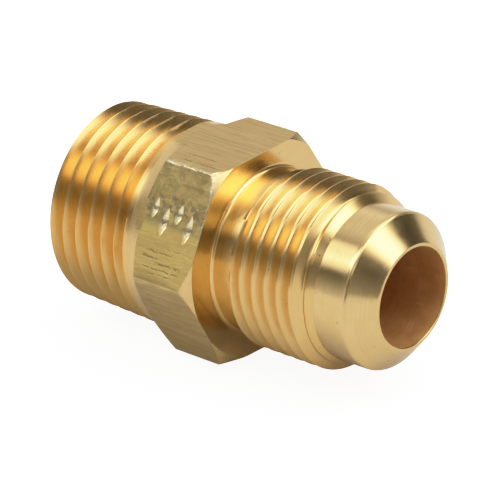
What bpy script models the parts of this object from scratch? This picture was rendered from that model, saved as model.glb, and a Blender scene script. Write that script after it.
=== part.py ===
"""Flare fitting: one-piece brass adapter, 1/2 in SAE 45 degree male flare by 1/2-14 NPT male.

The whole fitting is a single turned piece of hexagon bar, so the model is one closed solid.
Frame: metres, +X along the bore towards the flare nose, +Z out of an upper wrench flat.
The origin is on the bore's centre line, half-way between the two end faces.

The surface is a grid. Each column is a half-plane through the bore's centre line, at one angle
about it. Each row is a line that runs round the fitting: a plain ring on the turned surfaces,
the edge of a wrench flat on the hexagon, and a helix on the two threads.
"""

import math

import bmesh
import bpy

MM = 0.001

# Lengths along the bore, measured from the flare nose (mm)
TOTAL_LENGTH = 40.14
NOSE_TO_HEX = 18.88          # nose face to the hexagon's front face
HEX_LENGTH = 7.82
COLLAR_END = 28.25           # plain shank behind the hexagon ends, pipe thread runs out here
LAND_END = 6.00              # end of the plain land behind the seat
LEAD_END = 7.48              # end of the lead chamfer of the flare thread
FLARE_THREAD_END = 16.40     # where the flare thread has run out into the neck

# Bore, seat and land
BORE_R = 5.15                # 13/32 in drilled bore
RIM_R = 5.82                 # flat rim at the nose, between the bore and the seat
SEAT_ANGLE = 45.0            # the seat's angle to the bore's centre line, degrees
LAND_R = 8.08

# Flare thread, 3/4-16 UNF-2A
FLARE_PITCH = 25.4 / 16.0
FLARE_MAJOR_R = 9.47
NECK_R = 8.49                # thread root, and the relief in front of the hexagon
NECK_FILLET = 0.45
FLARE_PHASE = 5.257          # a crest crosses the +Y side at this distance along X

# Hexagon, 7/8 in across flats
ACROSS_FLATS = 22.22
CORNER_R = 12.62             # corners are turned off slightly
FRONT_FACE_R = 11.18         # circle where the front face meets its chamfer
FRONT_CHAMFER_SLOPE = 1.60   # radius gained per length along the bore
REAR_FACE_R = 11.02
REAR_CHAMFER_SLOPE = 1.50

# Pipe thread, 1/2-14 NPT
PIPE_PITCH = 25.4 / 14.0
PIPE_TAPER = 1.0 / 32.0      # radius gained per length (1 in 16 on the diameter)
PIPE_SMALL_R = 10.41         # crest radius at the small end
PIPE_DEPTH = 1.38
PIPE_CHAMFER = 0.56
PIPE_PHASE = -18.076
PIPE_RUNOUT = 1.8            # length over which the root rises to the plain shank

INNER_COLUMNS = 6            # columns between the two edges of a turned-off hexagon corner

NOSE_X = TOTAL_LENGTH / 2
PIPE_X = -TOTAL_LENGTH / 2
HEX_FRONT_X = NOSE_X - NOSE_TO_HEX
HEX_REAR_X = HEX_FRONT_X - HEX_LENGTH

BRASS_COLOUR = (0.66, 0.45, 0.19, 1.0)
BRASS_ROUGHNESS = 0.28


def corner_half_angle():
    """Half the angle that a turned-off corner takes up."""
    return math.radians(30.0) - math.acos(ACROSS_FLATS / 2 / CORNER_R)


def column_angles():
    """Angles of the columns: two at each corner of the hexagon, the others evenly between."""
    half = corner_half_angle()
    span = math.radians(60.0) - 2 * half
    angles = []
    for corner in range(6):
        first = math.radians(60.0 * corner) + half
        for i in range(INNER_COLUMNS + 2):
            angles.append(first + span * i / (INNER_COLUMNS + 1))
    return angles + [angles[0] + 2 * math.pi]


def hexagon_radius(angle):
    """Distance from the centre line to the hexagon's side at an angle."""
    off = (angle % math.radians(60.0)) - math.radians(30.0)
    return min(ACROSS_FLATS / 2 / math.cos(off), CORNER_R)


def ridge(u, crest_flat, root_flat):
    """Thread form: 1 on the crest, 0 in the root; u is the place along one pitch, 0 at a crest."""
    u = abs((u + 0.5) % 1.0 - 0.5)
    if u <= crest_flat / 2:
        return 1.0
    if u >= 0.5 - root_flat / 2:
        return 0.0
    return (0.5 - root_flat / 2 - u) / (0.5 - root_flat / 2 - crest_flat / 2)


def flare_surface(x, angle):
    """Radius of the flare thread, its lead chamfer and its run-out at x."""
    s = NOSE_X - x
    lead = (FLARE_MAJOR_R - LAND_R) / (LEAD_END - LAND_END)
    blank = min(LAND_R + max(s - LAND_END, 0.0) * lead, FLARE_MAJOR_R)
    fade = min(max((FLARE_THREAD_END - s) / (0.6 * FLARE_PITCH), 0.0), 1.0)
    u = (x - FLARE_PHASE) / FLARE_PITCH - angle / (2 * math.pi)
    crest = NECK_R + (FLARE_MAJOR_R - NECK_R) * fade
    return min(blank, NECK_R + (crest - NECK_R) * ridge(u, 0.14, 0.22))


def pipe_surface(x, angle):
    """Radius of the pipe thread, its end chamfer and its run-out at x."""
    s = x - PIPE_X
    crest = PIPE_SMALL_R + s * PIPE_TAPER
    blank = min(crest, PIPE_SMALL_R - PIPE_CHAMFER + s)
    to_collar = (NOSE_X - COLLAR_END) - x
    depth = PIPE_DEPTH * min(max(to_collar / PIPE_RUNOUT, 0.0), 1.0)
    u = (x - PIPE_PHASE) / PIPE_PITCH - angle / (2 * math.pi)
    return min(blank, crest - depth * (1.0 - ridge(u, 0.10, 0.10)))


def thread_rows(angle, high, low, pitch, phase, surface, marks):
    """Points of one column along a thread, from its high end to its low end.

    marks are the places in one pitch, from crest to crest, that get a helical row of their own.
    Rows that would lie past an end are held at it, where they fall together and are merged."""
    snap = 0.02
    turns = math.ceil((high - low) / pitch) + 2
    top = phase + pitch * math.ceil((high - phase) / pitch)
    points = [(high, surface(high, angle))]
    for turn in range(turns + 1):
        for mark in marks:
            x = top + pitch * (angle / (2 * math.pi) - turn - mark)
            x = high if x > high - snap else low if x < low + snap else x
            points.append((x, surface(x, angle)))
    points.append((low, surface(low, angle)))
    return points


def column(angle):
    """All the points of one column, (x, radius) in mm: outside from nose to pipe end, then the bore."""
    hexagon = hexagon_radius(angle)
    seat = (LAND_R - RIM_R) / math.tan(math.radians(SEAT_ANGLE))
    points = [(NOSE_X, BORE_R), (NOSE_X, RIM_R), (NOSE_X - seat, LAND_R)]
    points += thread_rows(angle, NOSE_X - LAND_END, NOSE_X - FLARE_THREAD_END,
                          FLARE_PITCH, FLARE_PHASE, flare_surface, (0.07, 0.39, 0.61, 0.93))
    points += [(HEX_FRONT_X + NECK_FILLET, NECK_R),
               (HEX_FRONT_X, NECK_R + NECK_FILLET),
               (HEX_FRONT_X, min(FRONT_FACE_R, hexagon)),
               (HEX_FRONT_X - max(hexagon - FRONT_FACE_R, 0.0) / FRONT_CHAMFER_SLOPE, hexagon),
               (HEX_REAR_X + (hexagon - REAR_FACE_R) / REAR_CHAMFER_SLOPE, hexagon),
               (HEX_REAR_X, REAR_FACE_R)]
    points += thread_rows(angle, NOSE_X - COLLAR_END, PIPE_X,
                          PIPE_PITCH, PIPE_PHASE, pipe_surface, (0.05, 0.45, 0.55, 0.95))
    points += [(PIPE_X, BORE_R)]
    return points


def brass():
    material = bpy.data.materials.new("brass")
    material.use_nodes = True
    shader = material.node_tree.nodes["Principled BSDF"]
    shader.inputs["Base Color"].default_value = BRASS_COLOUR
    shader.inputs["Metallic"].default_value = 1.0
    shader.inputs["Roughness"].default_value = BRASS_ROUGHNESS
    return material


def fitting_body():
    mesh = bpy.data.meshes.new("fitting_body")
    bm = bmesh.new()
    grid = []
    for angle in column_angles():
        grid.append([bm.verts.new((x * MM, r * MM * math.cos(angle), r * MM * math.sin(angle)))
                     for x, r in column(angle)])
    for near, far in zip(grid, grid[1:]):
        for i in range(len(near)):
            j = (i + 1) % len(near)
            bm.faces.new((near[i], near[j], far[j], far[i]))
    bmesh.ops.remove_doubles(bm, verts=bm.verts, dist=1e-6)
    bmesh.ops.dissolve_degenerate(bm, edges=bm.edges, dist=1e-6)
    bmesh.ops.triangulate(bm, faces=bm.faces)
    bmesh.ops.recalc_face_normals(bm, faces=bm.faces)
    bm.to_mesh(mesh)
    bm.free()
    mesh.shade_smooth()
    mesh.set_sharp_from_angle(angle=math.radians(30.0))
    body = bpy.data.objects.new("fitting_body", mesh)
    body.data.materials.append(brass())
    bpy.context.scene.collection.objects.link(body)
    return body


def main():
    for old in list(bpy.data.objects):
        bpy.data.objects.remove(old)
    body = fitting_body()
    body.location = (0.0, 0.0, 0.0)


main()
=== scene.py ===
import math

import bpy
import numpy as np
from mathutils import Matrix, Vector


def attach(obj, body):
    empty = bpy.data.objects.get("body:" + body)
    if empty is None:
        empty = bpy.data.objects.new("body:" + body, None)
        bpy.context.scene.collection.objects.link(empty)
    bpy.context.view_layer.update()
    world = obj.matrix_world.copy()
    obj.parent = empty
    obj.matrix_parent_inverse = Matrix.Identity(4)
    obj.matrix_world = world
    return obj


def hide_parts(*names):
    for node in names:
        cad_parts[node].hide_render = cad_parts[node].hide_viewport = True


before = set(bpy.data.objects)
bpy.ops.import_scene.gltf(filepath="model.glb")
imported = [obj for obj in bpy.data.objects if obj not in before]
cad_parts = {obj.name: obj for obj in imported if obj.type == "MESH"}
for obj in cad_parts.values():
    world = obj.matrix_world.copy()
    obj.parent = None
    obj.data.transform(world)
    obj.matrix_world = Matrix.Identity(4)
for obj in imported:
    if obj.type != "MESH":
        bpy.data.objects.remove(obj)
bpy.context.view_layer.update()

MM = 0.001

# ------------------------------------------------------------------ dimensions (mm)
NOSE_X = 20.07
PIPE_X = -20.07
HEX_FRONT_S, HEX_REAR_S = 18.88, 26.70
COLLAR_END_S = 28.25
LAND_END_S, LEAD_END_S = 6.00, 7.48
BORE_R, RIM_R, LAND_R = 5.15, 5.52, 8.08
SEAT_S = 2.26                    # the seat ends this far from the nose
FLARE_P, FLARE_MAJOR, NECK_R = 25.4 / 16.0, 9.47, 8.49
FLARE_PHASE = 5.257
FLARE_CREST = 0.055             # half the width of a crest
PIPE_P, PIPE_SMALL_R, PIPE_TAPER = 25.4 / 14.0, 10.41, 1.0 / 32.0
PIPE_PHASE = -18.076
PIPE_DEPTH, PIPE_CHAMFER, PIPE_RUNOUT = 1.38, 0.56, 1.3
# the bar's six flats, fitted one by one so the corners line up; not a regular hexagon: (angle of the normal in degrees, distance from the bore's centre line)
HEX_FLATS = [(30.1, 10.66), (89.0, 10.50), (149.6, 10.91), (206.4, 11.19), (266.5, 10.73), (330.0, 10.80)]
CORNER_ROUND = 0.20
FRONT_R, FRONT_SLOPE = 11.32, 1.45
REAR_R, REAR_SLOPE = 11.02, 1.46
S3 = math.sqrt(3.0)


def smin(a, b, k):
    return -k * np.logaddexp(-a / k, -b / k)


def smax(a, b, k):
    return k * np.logaddexp(a / k, b / k)


# ------------------------------------------------------------------ hexagon outline about the bore
hex_n = [np.array([math.cos(math.radians(a)), math.sin(math.radians(a))]) for a, _ in HEX_FLATS]
hex_a = [d for _, d in HEX_FLATS]


def hex_corners():
    out = []
    for k in range(6):
        n1, n2 = hex_n[k - 1], hex_n[k]
        m = np.array([n1, n2])
        sharp = np.linalg.solve(m, [hex_a[k - 1], hex_a[k]])
        centre = np.linalg.solve(m, [hex_a[k - 1] - CORNER_ROUND, hex_a[k] - CORNER_ROUND])
        t1, t2 = centre + CORNER_ROUND * n1, centre + CORNER_ROUND * n2
        out.append((math.atan2(sharp[1], sharp[0]), centre, math.atan2(t1[1], t1[0]), math.atan2(t2[1], t2[0])))
    return out


CORNERS = hex_corners()
MARKED_FLAT = 2                 # the flat whose normal is at 150 degrees, towards the viewer


def hex_radius(theta):
    """Distance from the bore's centre line to the bar's surface in direction theta."""
    u = np.array([np.cos(theta), np.sin(theta)])
    best = np.full(theta.shape, 1e9)
    for n, a in zip(hex_n, hex_a):
        d = n[0] * u[0] + n[1] * u[1]
        with np.errstate(divide="ignore", invalid="ignore"):
            r = np.where(d > 1e-6, a / np.maximum(d, 1e-6), 1e9)
        best = np.minimum(best, r)
    for _, c, t1, t2 in CORNERS:
        mid = math.atan2(c[1], c[0])
        off = (theta - mid + math.pi) % (2 * math.pi) - math.pi
        lo = (t1 - mid + math.pi) % (2 * math.pi) - math.pi
        hi = (t2 - mid + math.pi) % (2 * math.pi) - math.pi
        uc = u[0] * c[0] + u[1] * c[1]
        disc = CORNER_ROUND ** 2 - (c @ c) + uc * uc
        r = uc + np.sqrt(np.maximum(disc, 0))
        best = np.where((off > lo) & (off < hi), r, best)
    return best


def column_angles():
    """Angles of the columns: close together at the bar's corners, even between."""
    fine = [0.0, 0.45, 0.9, 1.35, 1.8, 2.5, 3.5]
    offs = fine + list(np.arange(5.5, 29.0, 2.05))
    starts = np.unwrap([c[0] for c in CORNERS])
    angles = []
    for k in range(6):
        a0 = starts[k]
        a1 = starts[(k + 1) % 6]
        span = (a1 - a0) % (2 * math.pi)
        half = [o / 60.0 for o in offs] + [0.5]
        full = half + [1.0 - h for h in reversed(half[1:-1])]
        if k == MARKED_FLAT:            # more columns where the flat is punched
            full = sorted(full + [0.5 * (a + b) for a, b in zip(full, full[1:]) if 0.25 < a < 0.80])
        angles += [a0 + span * h for h in full]
    angles = np.array(angles)
    return np.append(angles, angles[0] + 2 * math.pi)


# four plain chisel ticks struck in the marked flat: (distance from nose, place across the flat, half height, half width, depth, lean)
TICKS = [(20.60, 0.05, 1.60, 0.50, 0.46, 0.10), (22.15, -1.15, 1.15, 0.46, 0.42, 0.10), (23.75, -0.05, 1.60, 0.50, 0.46, 0.10),
         (25.30, -1.15, 1.15, 0.44, 0.40, 0.10)]


def wobble(v, seed, scale):
    """Smooth seeded wave without a repeat, about -1 to 1."""
    rng = np.random.default_rng(seed)
    out = 0.0 * v
    for i in range(7):
        f = scale * (0.6 + 0.55 * i) * (1 + 0.2 * rng.random())
        out = out + np.sin(2 * math.pi * (f * v + rng.random())) / (1.0 + 0.35 * i)
    return out / 2.6


def flat_place(theta, r):
    """Place across the marked flat, in mm from its middle."""
    n = hex_n[MARKED_FLAT]
    return r * (np.cos(theta) * -n[1] + np.sin(theta) * n[0])


def struck(x, theta, r):
    """Bar surface with the ticks, the metal they threw up, and a burr along the corner above them."""
    s = NOSE_X - x
    n = hex_n[MARKED_FLAT]
    facing = (np.cos(theta) * n[0] + np.sin(theta) * n[1]) > 0.82
    t = flat_place(theta, r)
    cut = 0.0 * r
    for s0, t0, hh, hw, depth, lean in TICKS:
        v = (t - t0) / hh
        u = (s - s0 - lean * v) / hw
        shape = np.clip(1.0 - np.abs(v) ** 1.6, 0, 1)
        groove = np.clip(shape - np.abs(u), 0, 1)
        lip = np.exp(-((np.abs(u) - shape - 0.12) / 0.22) ** 2) * (np.abs(v) < 1.05)
        cut = cut - depth * groove + 0.035 * lip
    r = r + np.where(facing, cut, 0.0)
    hem = HEX_FRONT_S + np.maximum(hex_radius(theta) - FRONT_R, 0) / FRONT_SLOPE + 0.13
    rough_edge = np.clip(0.45 + wobble(t, 71, 0.9), 0, 1.3) * np.clip((1.0 - t) / 1.5, 0, 1)
    r = r + np.where(facing, 0.075 * rough_edge * np.exp(-((s - hem) / 0.10) ** 2), 0.0)
    for k, height in ((MARKED_FLAT, 0.075), (MARKED_FLAT - 1, 0.02)):
        mid = CORNERS[k % 6][0]
        off = ((theta - mid + math.pi) % (2 * math.pi) - math.pi) * 12.2
        burr = np.clip(0.35 + wobble(s, 40 + k, 0.55), 0, 1.3)
        r = r + height * burr * np.exp(-(off / 0.22) ** 2)
    return r


# ------------------------------------------------------------------ thread forms
def flare_surface(x, theta):
    s = NOSE_X - x
    lead = (FLARE_MAJOR - LAND_R) / (LEAD_END_S - LAND_END_S)
    blank = np.minimum(LAND_R + np.maximum(s - LAND_END_S, 0) * lead, FLARE_MAJOR)
    blank = np.minimum(blank, NECK_R + np.maximum(16.25 - s, 0.0) * 1.3)
    u = (x - FLARE_PHASE) / FLARE_P - theta / (2 * math.pi)
    d = np.abs((u + 0.5) % 1.0 - 0.5) * FLARE_P
    flank = FLARE_MAJOR + (FLARE_CREST - d) * S3
    form = smax(flank, NECK_R + 0.03 + 0.0 * flank, 0.11)
    return np.maximum(smin(blank, form, 0.020), np.minimum(blank, NECK_R))


def pipe_surface(x, theta):
    s = x - PIPE_X
    crest = PIPE_SMALL_R + s * PIPE_TAPER
    blank = np.minimum(crest, PIPE_SMALL_R - PIPE_CHAMFER + s)
    to_collar = (NOSE_X - COLLAR_END_S) - x
    lift = (PIPE_DEPTH + 0.05) * np.clip(1.0 - to_collar / PIPE_RUNOUT, 0, 1) ** 1.2
    u = (x - PIPE_PHASE) / PIPE_P - theta / (2 * math.pi)
    d = (0.5 - np.abs((u + 0.5) % 1.0 - 0.5)) * PIPE_P          # distance from the groove's middle
    groove = crest - PIPE_DEPTH + lift + smax((d - 0.055) * S3, 0 * d, 0.09) - 0.05
    out = smin(blank, groove, 0.014)
    return np.minimum(out, hex_radius(theta) + 0 * out)


def thread_rows(theta, high, low, pitch, phase, surface, marks):
    snap = 0.006
    turns = math.ceil((high - low) / pitch) + 2
    top = phase + pitch * math.ceil((high - phase) / pitch)
    rows = [np.full(theta.shape, high)]
    for turn in range(turns + 1):
        for mark in marks:
            x = top + pitch * (theta / (2 * math.pi) - turn - mark)
            x = np.where(x > high - snap, high, np.where(x < low + snap, low, x))
            rows.append(x)
    rows.append(np.full(theta.shape, low))
    return [(x, surface(x, theta)) for x in rows]


def arc(c, r, a0, a1, n):
    """Points of an arc in the (s, radius) plane, both ends included."""
    return [(c[0] + r * math.cos(a), c[1] + r * math.sin(a)) for a in np.linspace(math.radians(a0), math.radians(a1), n)]


ZONES = []


def build_rows(theta):
    """Rows (x, radius, zone) from the bore's mouth at the nose, outside to the pipe end, and back up the bore."""
    rows = []

    def ring(s, r, zone):
        rows.append((np.full(theta.shape, NOSE_X - s), np.full(theta.shape, float(r)), zone))

    def rings(points, zone):
        for s, r in points:
            ring(s, r, zone)

    # nose: bore mouth with a broken edge, flat rim, seat cone, land
    ring(0.12, BORE_R, "bore")
    rings([(0.05, BORE_R + 0.02), (0.0, BORE_R + 0.09)], "rim")
    rings([(0.0, RIM_R - 0.06), (0.0, RIM_R - 0.03), (0.02, RIM_R + 0.01)], "rim")
    cone, rise = SEAT_S, LAND_R - RIM_R
    for f in np.linspace(0.05, 0.93, 6):
        ring(cone * f, RIM_R + rise * f, "seat")
    e = 0.16
    rings([(cone - e, LAND_R - e), (cone - e * 0.4, LAND_R - e * 0.47), (cone + e * 0.35, LAND_R - e * 0.12), (cone + e * 1.3, LAND_R)], "seat")
    for f in np.linspace(0.15, 0.97, 5):
        ring(cone + (LAND_END_S - cone) * f, LAND_R, "land")
    # flare thread
    half = [0.0, 0.030, 0.042, 0.054, 0.075, 0.15, 0.24, 0.32, 0.37, 0.42, 0.47]
    marks = half + [1.0 - m for m in reversed(half[1:])]
    for x, r in thread_rows(theta, NOSE_X - LAND_END_S, NOSE_X - 16.30, FLARE_P, FLARE_PHASE, flare_surface, marks):
        rows.append((x, r, "flare"))
    # neck, fillet, front face
    for s in (16.6, 17.1, 17.6, 18.1):
        ring(s, NECK_R, "neck")
    f = 0.42
    rings([(HEX_FRONT_S - f + f * math.sin(a), NECK_R + f - f * math.cos(a)) for a in np.linspace(0, math.pi / 2, 6)], "neck")
    hr = hex_radius(theta)
    for r in np.linspace(NECK_R + f + 0.12, FRONT_R - 0.08, 5):
        rows.append((np.full(theta.shape, NOSE_X - HEX_FRONT_S), np.minimum(r, hr), "face"))
    rows.append((np.full(theta.shape, NOSE_X - HEX_FRONT_S), np.minimum(FRONT_R, hr), "face"))
    xf = NOSE_X - HEX_FRONT_S - np.maximum(hr - FRONT_R, 0) / FRONT_SLOPE
    xr = NOSE_X - HEX_REAR_S + np.maximum(hr - REAR_R, 0) / REAR_SLOPE
    for t in (0.04, 0.25, 0.5, 0.75, 0.96):
        x = NOSE_X - HEX_FRONT_S + (xf - (NOSE_X - HEX_FRONT_S)) * t
        rows.append((x, np.minimum(FRONT_R + (NOSE_X - HEX_FRONT_S - x) * FRONT_SLOPE, hr), "chamfer"))
    stations = set(np.round(np.linspace(0.0, 1.0, 19), 4))
    for s0, _, _, hw, _, _ in TICKS:
        for q in (-1.5, -1.15, -0.8, -0.5, -0.22, 0.0, 0.22, 0.5, 0.8, 1.15, 1.5):
            stations.add(round((s0 + q * hw - HEX_FRONT_S) / (HEX_REAR_S - HEX_FRONT_S), 4))
    stations |= {0.010, 0.020, 0.032, 0.046}
    for t in sorted(stations):
        x = xf + (xr - xf) * t
        rows.append((x, struck(x, theta, hr) if 0 < t < 1 else hr, "hex"))
    for t in (0.04, 0.5, 0.96):
        x = xr + (NOSE_X - HEX_REAR_S - xr) * t
        rows.append((x, np.minimum(REAR_R + (x - NOSE_X + HEX_REAR_S) * REAR_SLOPE, hr), "rear"))
    xc = NOSE_X - COLLAR_END_S
    for t in (0.0, 0.3, 0.6, 0.9):
        x = NOSE_X - HEX_REAR_S + (xc - NOSE_X + HEX_REAR_S) * t
        r = REAR_R + (PIPE_SMALL_R + (xc - PIPE_X) * PIPE_TAPER - REAR_R) * min(t * 1.2, 1.0)
        rows.append((np.full(theta.shape, x), np.minimum(r, hr), "collar"))
    # pipe thread
    half = [0.0, 0.018, 0.030, 0.045, 0.10, 0.19, 0.28, 0.36, 0.42, 0.455, 0.485]
    marks = half + [1.0 - m for m in reversed(half[1:])]
    for x, r in thread_rows(theta, xc, PIPE_X, PIPE_P, PIPE_PHASE, pipe_surface, marks):
        rows.append((x, r, "pipe"))
    # pipe end face and bore
    end = pipe_surface(np.full(theta.shape, PIPE_X), theta)
    for t in (0.98, 0.6, 0.3):
        rows.append((np.full(theta.shape, PIPE_X), BORE_R + 0.35 + (end - BORE_R - 0.35) * t, "end"))
    rows.append((np.full(theta.shape, PIPE_X), np.full(theta.shape, BORE_R + 0.30), "end"))
    rows.append((np.full(theta.shape, PIPE_X + 0.30), np.full(theta.shape, BORE_R), "bore"))
    for t in np.linspace(0.05, 0.97, 6):
        rows.append((np.full(theta.shape, PIPE_X + (NOSE_X - PIPE_X) * t), np.full(theta.shape, BORE_R), "bore"))
    return rows


def fitting_mesh():
    theta = column_angles()
    rows = build_rows(theta)
    x = np.array([r[0] for r in rows])
    rad = np.array([r[1] for r in rows])
    zones = [r[2] for r in rows]
    nr, nc = x.shape
    co = np.stack([x, rad * np.cos(theta), rad * np.sin(theta)], axis=-1).reshape(-1, 3) * MM
    # merge points that fall together
    key = np.round(co / 2e-6).astype(np.int64)
    _, first, inv = np.unique(key, axis=0, return_index=True, return_inverse=True)
    inv = inv.reshape(-1)
    verts = co[first]
    i = np.arange(nr)[:, None]
    j = np.arange(nc - 1)[None, :]
    i2 = (i + 1) % nr
    quad = np.stack([inv[i * nc + j], inv[i2 * nc + j], inv[i2 * nc + j + 1], inv[i * nc + j + 1]], axis=-1)
    zone_names = sorted(set(zones))
    zi = np.array([zone_names.index(zones[(k + 1) % nr]) for k in range(nr)])
    faces, mats = [], []
    q = quad.reshape(-1, 4)
    zz = np.repeat(zi, nc - 1)
    for f, z in zip(q.tolist(), zz.tolist()):
        g = []
        for v in f:
            if v not in g:
                g.append(v)
        if len(g) >= 3:
            faces.append(g)
            mats.append(z)
    mesh = bpy.data.meshes.new("fitting_body_fine")
    mesh.from_pydata(verts.tolist(), [], faces)
    mesh.update()
    return mesh, mats, zone_names


mesh, mats, zone_names = fitting_mesh()
body = bpy.data.objects.new("fitting_body_fine", mesh)
bpy.context.scene.collection.objects.link(body)
for p, z in zip(mesh.polygons, mats):
    p.use_smooth = True
mesh.set_sharp_from_angle(angle=math.radians(32.0))

# how much of each point is left from the drawn bar (1) and how much was turned (0), and where the corners are
count = len(mesh.vertices)
pts = np.empty(count * 3)
mesh.vertices.foreach_get("co", pts)
pts = pts.reshape(-1, 3) / MM
v_theta = np.arctan2(pts[:, 2], pts[:, 1])
v_rad = np.hypot(pts[:, 1], pts[:, 2])
v_hex = hex_radius(v_theta)
v_s = NOSE_X - pts[:, 0]
bar = np.clip(1.0 - (v_hex - v_rad - 0.02) / 0.05, 0, 1) * (v_s > HEX_FRONT_S + 0.02)
nearest = np.min([np.abs((v_theta - c[0] + math.pi) % (2 * math.pi) - math.pi) for c in CORNERS], axis=0) * 12.2
corner = np.exp(-(nearest / 0.30) ** 2) * bar
# the corner above the marked flat, and that flat's front edge, carry a burr; their pale colour is partly burnished
# metal and partly a painted highlight along the burr
n2 = hex_n[MARKED_FLAT]
on_marked = ((np.cos(v_theta) * n2[0] + np.sin(v_theta) * n2[1]) * v_rad > hex_a[MARKED_FLAT] - 0.62) & (v_s > HEX_FRONT_S + 0.05) & (v_s < HEX_REAR_S)
across = flat_place(v_theta, v_rad)
top = CORNERS[MARKED_FLAT][0]
to_top = np.abs((v_theta - top + math.pi) % (2 * math.pi) - math.pi) * 12.2
edge_s = HEX_FRONT_S + np.maximum(v_hex - FRONT_R, 0) / FRONT_SLOPE
front_edge = np.exp(-((v_s - edge_s) / 0.24) ** 2) * on_marked * np.clip((1.2 - across) / 2.0, 0, 1)
corner = np.clip(0.10 * corner + np.exp(-(to_top / 0.26) ** 2) * bar + front_edge, 0, 1)
# how deep a point lies in a struck tick
sunk = np.clip((v_hex - v_rad) / 0.12, 0, 1) * on_marked * (v_s > edge_s + 0.15) * (bar < 0.99)
bar = np.maximum(bar, on_marked * (v_s > edge_s + 0.02))
yellow = on_marked * np.clip((across + 0.4) / 1.8, 0, 1)
# painted shade: darkens the bar's bottom flat, the one whose normal is at 206.4 degrees, carried as the 'low' attribute
shaded = np.clip(1.0 - np.abs((v_theta - math.radians(206.4) + math.pi) % (2 * math.pi) - math.pi) / 0.56, 0, 1)
for name, values in (("bar", bar), ("corner", corner), ("sunk", sunk), ("marked", on_marked * 1.0), ("yellow", yellow), ("low", np.clip(shaded * 8, 0, 1))):
    att = mesh.attributes.new(name, "FLOAT", "POINT")
    att.data.foreach_set("value", values.astype(np.float32))


# ------------------------------------------------------------------ materials
class Nodes:
    """Short hand for building a node tree."""

    def __init__(self, name):
        self.mat = bpy.data.materials.new(name)
        self.mat.use_nodes = True
        self.t = self.mat.node_tree
        self.b = self.t.nodes["Principled BSDF"]

    def put(self, socket, value):
        if isinstance(value, bpy.types.NodeSocket):
            self.t.links.new(value, socket)
        else:
            socket.default_value = value

    def node(self, kind, **props):
        n = self.t.nodes.new(kind)
        for k, v in props.items():
            setattr(n, k, v)
        return n

    def math(self, op, a, b=0.0, c=0.0, clamp=False):
        n = self.node("ShaderNodeMath", operation=op, use_clamp=clamp)
        for i, v in enumerate((a, b, c)):
            self.put(n.inputs[i], v)
        return n.outputs[0]

    def place(self):
        """Object position in mm as (x, y, z) outputs and a vector."""
        tc = self.node("ShaderNodeTexCoord")
        sc = self.node("ShaderNodeVectorMath", operation="SCALE")
        self.put(sc.inputs[0], tc.outputs["Object"])
        sc.inputs["Scale"].default_value = 1000.0
        sep = self.node("ShaderNodeSeparateXYZ")
        self.put(sep.inputs[0], sc.outputs[0])
        return sc.outputs[0], sep.outputs[0], sep.outputs[1], sep.outputs[2]

    def vec(self, x, y, z):
        n = self.node("ShaderNodeCombineXYZ")
        for i, v in enumerate((x, y, z)):
            self.put(n.inputs[i], v)
        return n.outputs[0]

    def noise(self, vector, scale, detail=3.0, rough=0.55, distortion=0.0):
        n = self.node("ShaderNodeTexNoise")
        self.put(n.inputs["Vector"], vector)
        n.inputs["Scale"].default_value = scale
        n.inputs["Detail"].default_value = detail
        n.inputs["Roughness"].default_value = rough
        n.inputs["Distortion"].default_value = distortion
        return n.outputs[0]

    def remap(self, v, a, b, c, d, smooth=True):
        n = self.node("ShaderNodeMapRange")
        n.interpolation_type = "SMOOTHSTEP" if smooth else "LINEAR"
        for i, q in enumerate((v, a, b, c, d)):
            self.put(n.inputs[i], q)
        return n.outputs[0]

    def mix(self, f, a, b):
        n = self.node("ShaderNodeMix", data_type="RGBA")
        self.put(n.inputs[0], f)
        self.put(n.inputs[6], a)
        self.put(n.inputs[7], b)
        return n.outputs[2]

    def attribute(self, name):
        return self.node("ShaderNodeAttribute", attribute_name=name).outputs["Fac"]

    def bump(self, height, strength, distance):
        n = self.node("ShaderNodeBump")
        n.inputs["Strength"].default_value = strength
        n.inputs["Distance"].default_value = distance * MM
        self.put(n.inputs["Height"], height)
        return n.outputs[0]


BRASS = (0.780, 0.550, 0.240, 1)
BRASS_PALE = (0.830, 0.620, 0.310, 1)
BRASS_DULL = (0.640, 0.430, 0.165, 1)
OLIVE = (0.620, 0.480, 0.170, 1)
OXIDE = (0.200, 0.130, 0.050, 1)


def around(n, vec, y, z):
    """Angle about the bore, in turns."""
    return n.math("DIVIDE", n.math("ARCTAN2", z, y), 2 * math.pi)


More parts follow.
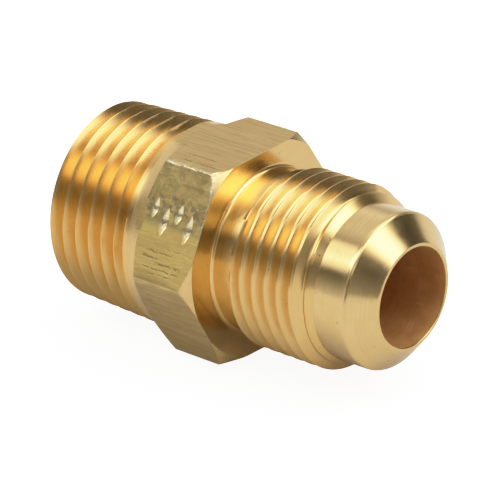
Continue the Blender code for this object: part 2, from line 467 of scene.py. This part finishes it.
def bar_finish(n, vec, x, y, z):
    """Drawn bar: lengthwise die lines, olive cast, dark pits dragged along the length, painted shade on the bottom flat
    and beside the struck ticks, and a painted highlight in the ticks.
    """
    lines = n.noise(n.vec(n.math("MULTIPLY", x, 0.12), n.math("MULTIPLY", y, 3.6), n.math("MULTIPLY", z, 3.6)), 1.0, 4.0, 0.62)
    broad = n.noise(n.vec(n.math("MULTIPLY", x, 0.22), n.math("MULTIPLY", y, 0.8), n.math("MULTIPLY", z, 0.8)), 1.0, 3.0, 0.55)
    dash = n.noise(n.vec(n.math("MULTIPLY", x, 0.55), n.math("MULTIPLY", y, 6.0), n.math("MULTIPLY", z, 6.0)), 1.0, 2.0, 0.5)
    where = n.noise(vec, 0.30, 1.0, 0.5)
    dash = n.math("MULTIPLY", n.remap(dash, 0.57, 0.68, 0.0, 0.55), n.remap(where, 0.44, 0.62, 0.0, 1.0))
    blotch = n.noise(vec, 0.95, 4.0, 0.65, 0.3)
    grain = n.noise(vec, 5.5, 3.0, 0.6)
    marked, yellow, low = n.attribute("marked"), n.attribute("yellow"), n.attribute("low")
    colour = n.mix(n.remap(lines, 0.33, 0.66, 0.0, 1.0), (0.52, 0.358, 0.138, 1), (0.68, 0.475, 0.200, 1))
    # the marked flat grades from olive to a paler yellow across its width, following the 'yellow' attribute
    paler_yellow = n.mix(n.remap(lines, 0.33, 0.66, 0.0, 1.0), (0.76, 0.555, 0.180, 1), (0.93, 0.690, 0.245, 1))
    olive = n.mix(n.remap(blotch, 0.36, 0.64, 0.0, 1.0), (0.70, 0.535, 0.215, 1), (0.42, 0.330, 0.140, 1))
    colour = n.mix(marked, colour, n.mix(n.remap(n.math("ADD", yellow, n.math("MULTIPLY", n.math("SUBTRACT", blotch, 0.5), 0.9)), 0.25, 0.75, 0.0, 1.0), olive, paler_yellow))
    colour = n.mix(n.remap(blotch, 0.50, 0.72, 0.0, 0.35), colour, OLIVE)
    colour = n.mix(n.remap(broad, 0.38, 0.70, 0.0, 0.40), colour, BRASS_DULL)
    # painted shade on the bar's bottom flat, weighted by the 'low' attribute
    colour = n.mix(n.math("MULTIPLY", low, n.remap(broad, 0.35, 0.60, 0.25, 0.75)), colour, (0.46, 0.330, 0.140, 1))
    # scores dragged along the bar: (from, to, place across the flat, half width), distances from the nose in mm
    t2 = n.math("ADD", n.math("MULTIPLY", y, -hex_n[2][1]), n.math("MULTIPLY", z, hex_n[2][0]))
    t1 = n.math("ADD", n.math("MULTIPLY", y, -hex_n[1][1]), n.math("MULTIPLY", z, hex_n[1][0]))
    waver = n.math("MULTIPLY", n.math("SUBTRACT", n.noise(vec, 1.3, 2.0, 0.5), 0.5), 0.35)
    broken = n.remap(n.noise(n.vec(n.math("MULTIPLY", x, 2.2), y, z), 1.0, 3.0, 0.6), 0.36, 0.52, 0.15, 1.0)
    scores = 0.0
    for t, mask, marks in ((t2, marked, ((23.0, 25.6, 3.70, 0.13), (20.1, 23.5, 4.15, 0.15), (20.2, 25.3, 4.75, 0.10), (21.0, 24.2, 5.25, 0.08), (21.6, 25.2, 3.10, 0.08), (20.4, 22.6, 2.55, 0.06))),
                           (t1, n.math("GREATER_THAN", z, 5.0), ((19.9, 24.6, 5.40, 0.10), (20.4, 23.2, 5.05, 0.06), (21.2, 25.0, 4.1, 0.06)))):
        for s0, s1, t0, w in marks:
            along = n.math("MULTIPLY", n.remap(x, NOSE_X - s1 - 0.2, NOSE_X - s1 + 0.5, 0.0, 1.0), n.remap(x, NOSE_X - s0 - 0.5, NOSE_X - s0 + 0.2, 1.0, 0.0))
            off = n.math("ABSOLUTE", n.math("SUBTRACT", n.math("ADD", t, waver), t0))
            one = n.math("MULTIPLY", n.math("MULTIPLY", n.remap(off, w * 0.3, w * 1.6, 1.0, 0.0), along), mask)
            scores = n.math("MAXIMUM", one, scores)
    dash = n.math("MAXIMUM", dash, n.math("MULTIPLY", scores, broken))
    colour = n.mix(n.math("MULTIPLY", dash, 0.72), colour, OXIDE)
    colour = n.mix(n.remap(grain, 0.58, 0.74, 0.0, 0.26), colour, OXIDE)
    # painted shade beside the struck ticks, mottled by noise
    tick_shade = n.math("MULTIPLY", n.math("MULTIPLY", n.remap(t2, -3.2, -2.4, 0.0, 1.0), n.remap(t2, -1.1, -0.2, 1.0, 0.0)), marked)
    tick_shade = n.math("MULTIPLY", tick_shade, n.remap(n.noise(vec, 1.7, 3.0, 0.6), 0.44, 0.60, 0.0, 0.62))
    colour = n.mix(tick_shade, colour, (0.22, 0.175, 0.125, 1))
    # painted highlight: the struck ticks get a near-white brass colour, partly fresh metal and partly the glint their
    # facets catch
    sunk = n.attribute("sunk")
    colour = n.mix(sunk, colour, (0.98, 0.84, 0.52, 1))
    rough = n.math("ADD", n.remap(lines, 0.3, 0.7, 0.46, 0.34), n.math("MULTIPLY", dash, 0.15))
    rough = n.math("ADD", rough, n.math("MULTIPLY", sunk, -0.22))
    height = n.math("ADD", n.math("MULTIPLY", lines, 0.75), n.math("MULTIPLY", dash, -0.9))
    height = n.math("ADD", height, n.math("MULTIPLY", grain, 0.22))
    return colour, rough, height


def turned_finish(n, vec, x, y, z):
    """Lathe finish: fine feed rings round the axis, with soft handling marks."""
    turn = around(n, vec, y, z)
    rings = n.noise(n.vec(n.math("MULTIPLY", x, 9.0), n.math("MULTIPLY", turn, 1.2), 0.0), 1.0, 3.0, 0.6)
    rad = n.math("SQRT", n.math("ADD", n.math("MULTIPLY", y, y), n.math("MULTIPLY", z, z)))
    rings2 = n.noise(n.vec(n.math("MULTIPLY", n.math("ADD", x, rad), 5.0), 3.0, 0.0), 1.0, 2.0, 0.5)
    smear = n.noise(vec, 0.55, 4.0, 0.55, 0.6)
    speck = n.noise(vec, 3.4, 1.0, 0.5)
    speck = n.math("MULTIPLY", n.remap(speck, 0.70, 0.76, 0.0, 1.0), n.remap(smear, 0.45, 0.60, 0.0, 1.0))
    colour = n.mix(n.remap(smear, 0.35, 0.70, 0.0, 0.45), BRASS, BRASS_PALE)
    colour = n.mix(n.remap(rings, 0.30, 0.62, 0.25, 0.0), colour, BRASS_DULL)
    colour = n.mix(n.math("MULTIPLY", speck, 0.65), colour, OXIDE)
    rough = n.math("ADD", n.remap(smear, 0.3, 0.7, -0.02, 0.03), n.remap(rings2, 0.3, 0.7, 0.0, 0.03))
    height = n.math("ADD", n.math("MULTIPLY", rings, 0.6), n.math("MULTIPLY", rings2, 0.4))
    height = n.math("ADD", height, n.math("MULTIPLY", speck, -0.6))
    return colour, rough, height


def outside(name, bump_turned=0.10, base_rough=0.16, warm=0.0, brushed=0.0):
    """Turned brass that becomes drawn-bar finish where the 'bar' attribute says so, with corners painted paler, partly
    burnished wear and partly a painted edge highlight.
    """
    n = Nodes(name)
    vec, x, y, z = n.place()
    ct, rt, ht = turned_finish(n, vec, x, y, z)
    cb, rb, hb = bar_finish(n, vec, x, y, z)
    if warm:
        ct = n.mix(warm, ct, (0.80, 0.50, 0.17, 1))
    bar = n.attribute("bar")
    corner = n.attribute("corner")
    ragged = n.noise(vec, 2.6, 3.0, 0.6)
    edge = n.math("MULTIPLY", corner, n.remap(ragged, 0.36, 0.56, 0.0, 1.0))
    colour = n.mix(bar, ct, cb)
    # painted edge highlight along the corners and burrs, partly burnished metal
    colour = n.mix(n.math("MULTIPLY", edge, 0.8), colour, (0.93, 0.78, 0.50, 1))
    rt = n.math("ADD", rt, base_rough)
    rough = n.math("ADD", n.math("MULTIPLY", rt, n.math("SUBTRACT", 1.0, bar)), n.math("MULTIPLY", rb, bar))
    rough = n.math("ADD", rough, n.math("MULTIPLY", edge, -0.12))
    height = n.math("ADD", n.math("MULTIPLY", n.math("MULTIPLY", ht, bump_turned), n.math("SUBTRACT", 1.0, bar)), n.math("MULTIPLY", hb, bar))
    n.put(n.b.inputs["Base Color"], colour)
    n.put(n.b.inputs["Roughness"], rough)
    n.put(n.b.inputs["Normal"], n.bump(height, 0.55, 0.030))
    n.b.inputs["Metallic"].default_value = 1.0
    if brushed:                     # feed marks run round the axis, so reflections spread along it
        tangent = n.node("ShaderNodeTangent", direction_type="RADIAL", axis="X")
        n.put(n.b.inputs["Tangent"], tangent.outputs[0])
        n.b.inputs["Anisotropic"].default_value = brushed
        n.b.inputs["Anisotropic Rotation"].default_value = 0.25
    return n.mat


# short scores in the bore, painted near white, partly fresh metal and partly a painted glint: (from x, to x, place
# round the bore in turns, lean)
SCRATCHES = [(17.72, 18.09, -0.1544, 0.1500), (17.36, 17.71, -0.1618, 0.1377)]


def bore_brass():
    """Drilled bore: redder, dull, with drill rings and drag marks."""
    n = Nodes("brass_bore")
    vec, x, y, z = n.place()
    turn = around(n, vec, y, z)
    rings = n.noise(n.vec(n.math("ADD", n.math("MULTIPLY", x, 4.5), n.math("MULTIPLY", turn, 2.0)), 0.0, 0.0), 1.0, 4.0, 0.65)
    smear = n.noise(n.vec(n.math("MULTIPLY", x, 0.45), n.math("MULTIPLY", y, 0.5), n.math("MULTIPLY", z, 0.5)), 1.0, 3.0, 0.55)
    score = n.noise(n.vec(n.math("MULTIPLY", x, 0.18), n.math("MULTIPLY", turn, 60.0), 0.0), 1.0, 2.0, 0.5)
    score = n.remap(score, 0.66, 0.74, 0.0, 1.0)
    colour = n.mix(n.remap(rings, 0.32, 0.68, 0.0, 1.0), (0.58, 0.310, 0.110, 1), (0.70, 0.390, 0.145, 1))
    colour = n.mix(n.remap(smear, 0.40, 0.68, 0.0, 0.6), colour, (0.80, 0.47, 0.19, 1))
    colour = n.mix(n.math("MULTIPLY", score, 0.5), colour, (0.90, 0.62, 0.34, 1))
    # scores painted near white: partly fresh metal, partly a painted glint
    for x0, x1, at, lean in SCRATCHES:
        off = n.math("ABSOLUTE", n.math("SUBTRACT", n.math("ADD", turn, n.math("MULTIPLY", n.math("SUBTRACT", x, x0), lean)), at))
        line = n.math("MULTIPLY", n.remap(off, 0.0012, 0.0036, 1.0, 0.0), n.math("MULTIPLY", n.remap(x, x0 - 0.15, x0 + 0.15, 0.0, 1.0), n.remap(x, x1 - 0.4, x1 + 0.1, 1.0, 0.0)))
        colour = n.mix(n.math("MULTIPLY", line, 0.85), colour, (1.0, 0.86, 0.62, 1))
    n.put(n.b.inputs["Base Color"], colour)
    n.put(n.b.inputs["Roughness"], n.remap(rings, 0.3, 0.7, 0.52, 0.38))
    n.put(n.b.inputs["Normal"], n.bump(n.math("ADD", rings, n.math("MULTIPLY", score, -0.6)), 0.35, 0.03))
    n.b.inputs["Metallic"].default_value = 0.55
    return n.mat


finish_of = {"bore": bore_brass()}
default = outside("brass_turned", 0.12, 0.19, 0.40, 0.6)
for zn, made in (("hex", outside("brass_bar", 0.25, 0.20)), ("chamfer", outside("brass_chamfer", 0.30, 0.24)),
                 ("collar", outside("brass_collar", 0.20, 0.30)), ("face", outside("brass_face", 0.12, 0.14)),
                 ("seat", outside("brass_seat", 0.04, 0.145)), ("land", outside("brass_land", 0.07, 0.12)),
                 ("rim", outside("brass_rim", 0.20, 0.25)), ("end", outside("brass_end", 0.40, 0.25)),
                 ("pipe", outside("brass_pipe_thread", 0.48, 0.20, 0.60, 0.85)), ("flare", outside("brass_flare_thread", 0.26, 0.20, 0.42, 0.85))):
    finish_of[zn] = made
finish_of["rear"] = finish_of["chamfer"]
for zn in zone_names:
    body.data.materials.append(finish_of.get(zn, default))
for p, z in zip(mesh.polygons, mats):
    p.material_index = z

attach(body, "root")
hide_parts("fitting_body")

# ------------------------------------------------------------------ camera
TURN = math.radians(-5.36)          # the fitting lies on a wrench flat
AZ, EL, DIST, FOCAL = math.radians(-49.00), math.radians(22.58), 363.8, 3608.2
CENTRE_PX = (8.53, -4.24)
back = Vector((math.cos(EL) * math.cos(AZ), math.cos(EL) * math.sin(AZ), math.sin(EL)))
right = Vector((-math.sin(AZ), math.cos(AZ), 0.0))
up = back.cross(right)
turn = Matrix.Rotation(TURN, 3, "X")
back, right, up = turn @ back, turn @ right, turn @ up
target = Vector((NOSE_X - 20.0, 0, 0)) * MM
cam_data = bpy.data.cameras.new("camera")
cam = bpy.data.objects.new("camera", cam_data)
bpy.context.scene.collection.objects.link(cam)
m = Matrix((right, up, back)).transposed().to_4x4()
m.translation = target + back * DIST * MM
cam.matrix_world = m
cam_data.sensor_width = 36.0
cam_data.lens = FOCAL * 36.0 / 500.0
cam_data.shift_x = -CENTRE_PX[0] / 500.0
cam_data.shift_y = CENTRE_PX[1] / 500.0
cam_data.clip_start, cam_data.clip_end = 0.01, 20.0
bpy.context.scene.camera = cam

# ------------------------------------------------------------------ floor and light
zs = [v.co.z for v in mesh.vertices]
floor_mesh = bpy.data.meshes.new("floor")
h = 1.5
z = min(zs) - 0.00002
floor_mesh.from_pydata([(-h, -h, z), (h, -h, z), (h, h, z), (-h, h, z)], [], [(0, 1, 2, 3)])
floor = bpy.data.objects.new("floor", floor_mesh)
bpy.context.scene.collection.objects.link(floor)
fm = bpy.data.materials.new("floor_white")
fm.use_nodes = True
fb = fm.node_tree.nodes["Principled BSDF"]
fb.inputs["Base Color"].default_value = (0.70, 0.70, 0.69, 1)
fb.inputs["Roughness"].default_value = 0.9
fb.inputs["Specular IOR Level"].default_value = 0.0
fb.inputs["Emission Color"].default_value = (1, 1, 1, 1)
# the tent's floor reads as plain white to the camera, and only its own bounce lights the brass
flp = fm.node_tree.nodes.new("ShaderNodeLightPath")
fmul = fm.node_tree.nodes.new("ShaderNodeMath")
fmul.operation = "MULTIPLY_ADD"
fmul.inputs[1].default_value = 1.15
fmul.inputs[2].default_value = 0.03
fm.node_tree.links.new(flp.outputs["Is Camera Ray"], fmul.inputs[0])
fm.node_tree.links.new(fmul.outputs[0], fb.inputs["Emission Strength"])
floor_mesh.materials.append(fm)

# soft cards of a light tent: (azimuth, elevation, half width, half height, softness, strength), widths as tangents
CARDS = [
    (21, 45, 0.29, 0.45, 0.07, 2.00),     # main soft box beyond the nose
    (240, 53, 0.25, 0.24, 0.03, 1.80),    # box high on the left
    (216, 42, 0.24, 0.20, 0.03, 1.15),    # box beside it
    (320, 35, 0.23, 0.08, 0.06, 1.10),    # strip near the camera
    (70, 48, 0.41, 0.11, 0.03, 1.17),     # strip behind
    (172, 35, 1.09, 0.13, 0.04, 0.45),    # long faint strip behind the pipe end
]
# dark flags that take light away, the same way
FLAGS = [
    (325, -1, 0.96, 1.20, 0.03, 0.62),
    (57, 15, 0.40, 0.51, 0.03, 0.76),
    (215, 47, 0.34, 1.19, 0.32, 1.00),
]
world = bpy.data.worlds.new("studio")
bpy.context.scene.world = world
world.use_nodes = True
wt = world.node_tree
sky = wt.nodes["Background"]


def wmath(op, a, b=0.0, clamp=False):
    n = wt.nodes.new("ShaderNodeMath")
    n.operation = op
    n.use_clamp = clamp
    for i, v in enumerate((a, b)):
        if isinstance(v, bpy.types.NodeSocket):
            wt.links.new(v, n.inputs[i])
        else:
            n.inputs[i].default_value = v
    return n.outputs[0]


def wdot(vector, direction):
    n = wt.nodes.new("ShaderNodeVectorMath")
    n.operation = "DOT_PRODUCT"
    wt.links.new(vector, n.inputs[0])
    n.inputs[1].default_value = direction
    return n.outputs["Value"]


def wedge(value, half, soft):
    """1 inside half, 0 outside, with a soft edge."""
    n = wt.nodes.new("ShaderNodeMapRange")
    n.interpolation_type = "SMOOTHSTEP"
    wt.links.new(wmath("ABSOLUTE", value), n.inputs[0])
    n.inputs[1].default_value, n.inputs[2].default_value = half - 2.4 * soft, half + 2.4 * soft
    n.inputs[3].default_value, n.inputs[4].default_value = 1.0, 0.0
    return n.outputs[0]


def soft_card(direction, az, el, half_w, half_h, soft):
    az, el = math.radians(az), math.radians(el)
    c = Vector((math.cos(el) * math.cos(az), math.cos(el) * math.sin(az), math.sin(el)))
    t = Vector((-math.sin(az), math.cos(az), 0.0))
    b = c.cross(t)
    w = wdot(direction, c)
    safe = wmath("MAXIMUM", w, 0.02)
    u = wmath("DIVIDE", wdot(direction, t), safe)
    v = wmath("DIVIDE", wdot(direction, b), safe)
    return wmath("MULTIPLY", wmath("MULTIPLY", wedge(u, half_w, soft), wedge(v, half_h, soft)), wmath("GREATER_THAN", w, 0.02))


wc = wt.nodes.new("ShaderNodeTexCoord")
towards = wc.outputs["Generated"]
height_of = wdot(towards, (0, 0, 1))
ramp = wt.nodes.new("ShaderNodeValToRGB")
ramp.color_ramp.interpolation = "LINEAR"
levels = [(0.0, 0.85), (0.4226, 0.30), (0.766, 0.84), (1.0, 2.60)]     # dome brightness by sine of elevation
while len(ramp.color_ramp.elements) < len(levels):
    ramp.color_ramp.elements.new(0.5)
for e, (at, level) in zip(ramp.color_ramp.elements, levels):
    e.position = at
for e, (at, level) in zip(ramp.color_ramp.elements, levels):
    e.color = (level, level, level, 1)
wt.links.new(height_of, ramp.inputs[0])
light = ramp.outputs[0]
for az, el, hw, hh, soft, strength in FLAGS:
    light = wmath("MULTIPLY", light, wmath("SUBTRACT", 1.0, wmath("MULTIPLY", soft_card(towards, az, el, hw, hh, soft), strength)))
for az, el, hw, hh, soft, strength in CARDS:
    light = wmath("ADD", light, wmath("MULTIPLY", soft_card(towards, az, el, hw, hh, soft), strength))
# the tent's plain white wall is all a camera sees beyond the floor
seen = wt.nodes.new("ShaderNodeLightPath")
plain = wt.nodes.new("ShaderNodeMix")
plain.data_type = "FLOAT"
wt.links.new(seen.outputs["Is Camera Ray"], plain.inputs[0])
wt.links.new(light, plain.inputs[2])
plain.inputs[3].default_value = 0.98
wt.links.new(plain.outputs[0], sky.inputs["Color"])
sky.inputs["Strength"].default_value = 1.10
# display: standard, with a gentle photographic shoulder on the highlights
view = bpy.context.scene.view_settings
view.view_transform = "Standard"
view.use_curve_mapping = True
curve = view.curve_mapping
curve.white_level = (2.0, 2.0, 2.0)
combined = curve.curves[3]
for at, value in ((0.15, 0.30), (0.30, 0.60), (0.40, 0.765), (0.50, 0.875), (0.65, 0.95)):
    combined.points.new(at, value)
curve.update()
